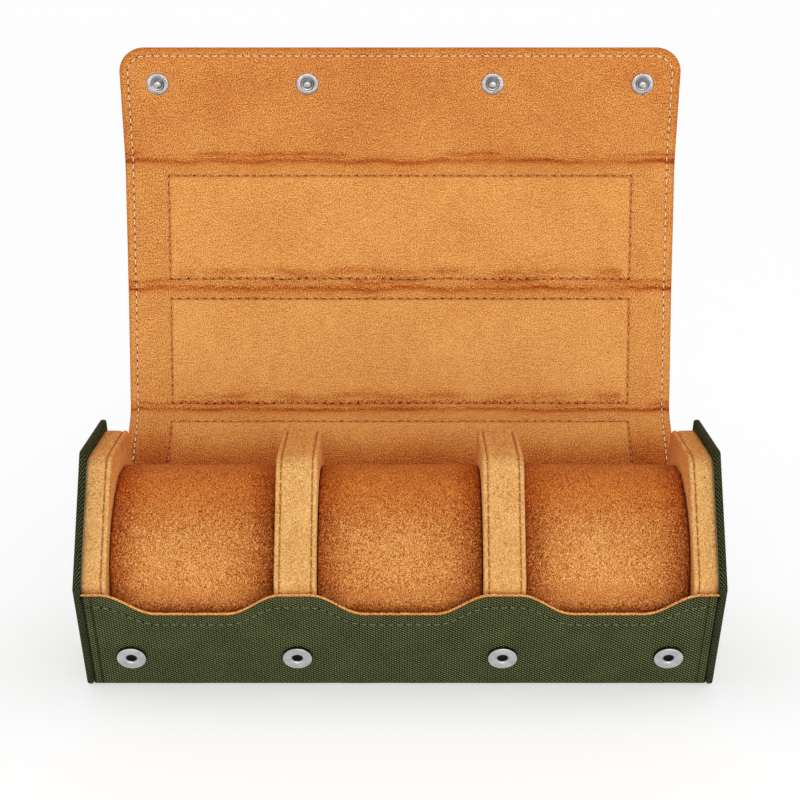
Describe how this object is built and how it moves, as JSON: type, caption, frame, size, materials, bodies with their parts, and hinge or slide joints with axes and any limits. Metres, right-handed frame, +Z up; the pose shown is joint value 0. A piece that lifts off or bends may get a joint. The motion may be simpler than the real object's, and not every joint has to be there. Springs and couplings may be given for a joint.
{
  "type": "watch travel case",
  "caption": "Hexagonal fabric-covered travel case for watches, with padded dividers, lift-out cushions and a folding wrap-over lid that closes with snaps.",
  "frame": {"origin": "centre of the flat base, on the surface that the case stands on", "axes": "+X along the case to the right as seen from the front, -Y to the front with the snap sockets, +Z up"},
  "size_m": [0.242, 0.1561, 0.2388],
  "materials": {
    "canvas": "matte",
    "lining_suede": "matte",
    "pad_suede": "matte",
    "pillow_suede": "matte",
    "foam": "matte",
    "board": "matte",
    "socket_metal": "satin",
    "stud_metal": "polished"
  },
  "bodies": {
    "tray": {"end_cap_board_left": "board", "end_cap_board_right": "board", "end_cap_canvas_left": "canvas", "end_cap_canvas_right": "canvas", "end_pad_foam_left": "foam", "end_pad_foam_right": "foam", "end_pad_cover_left": "pad_suede", "end_pad_cover_right": "pad_suede", "divider_foam_left": "foam", "divider_foam_right": "foam", "divider_cover_left": "pad_suede", "divider_cover_right": "pad_suede", "tray_canvas": "canvas", "tray_lining": "lining_suede", "front_board": "board", "bottom_board": "board", "back_board": "board", "snap_sockets": "socket_metal", "socket_posts": "socket_metal"},
    "lid_rear": {"lid_rear_canvas": "canvas", "lid_rear_board": "board", "lid_rear_lining": "lining_suede"},
    "lid_top": {"lid_top_canvas": "canvas", "lid_top_board": "board", "lid_top_lining": "lining_suede"},
    "lid_front": {"lid_front_canvas": "canvas", "lid_front_board": "board", "lid_front_lining": "lining_suede"},
    "flap": {"flap_canvas": "canvas", "flap_stiffener": "board", "flap_lining": "lining_suede", "snap_studs": "stud_metal", "snap_caps": "stud_metal"},
    "pillow_left": {"pillow_core_left": "foam", "pillow_cover_left": "pillow_suede"},
    "pillow_middle": {"pillow_core_middle": "foam", "pillow_cover_middle": "pillow_suede"},
    "pillow_right": {"pillow_core_right": "foam", "pillow_cover_right": "pillow_suede"}
  },
  "joints": [
    {"name": "lid_fold", "type": "hinge", "parent": "tray", "child": "lid_rear", "pos_m": [0, 0.0537, 0.04651], "axis": [1, 0, 0], "range_deg": [-46, 82]},
    {"name": "top_fold", "type": "hinge", "parent": "lid_rear", "child": "lid_top", "pos_m": [0, 0.09602, 0.07957], "axis": [1, 0, 0], "range_deg": [-47, 13]},
    {"name": "front_fold", "type": "hinge", "parent": "lid_top", "child": "lid_front", "pos_m": [0, 0.1007, 0.13306], "axis": [1, 0, 0], "range_deg": [-3, 57]},
    {"name": "flap_fold", "type": "hinge", "parent": "lid_front", "child": "flap", "pos_m": [0, 0.10266, 0.18927], "axis": [1, 0, 0], "range_deg": [-17, 38.8]},
    {"name": "pillow_left_lift", "type": "slide", "parent": "tray", "child": "pillow_left", "axis": [0, 0, -1], "range_m": [-0.1, 0]},
    {"name": "pillow_middle_lift", "type": "slide", "parent": "tray", "child": "pillow_middle", "axis": [0, 0, -1], "range_m": [-0.1, 0]},
    {"name": "pillow_right_lift", "type": "slide", "parent": "tray", "child": "pillow_right", "axis": [0, 0, -1], "range_m": [-0.1, 0]}
  ]
}
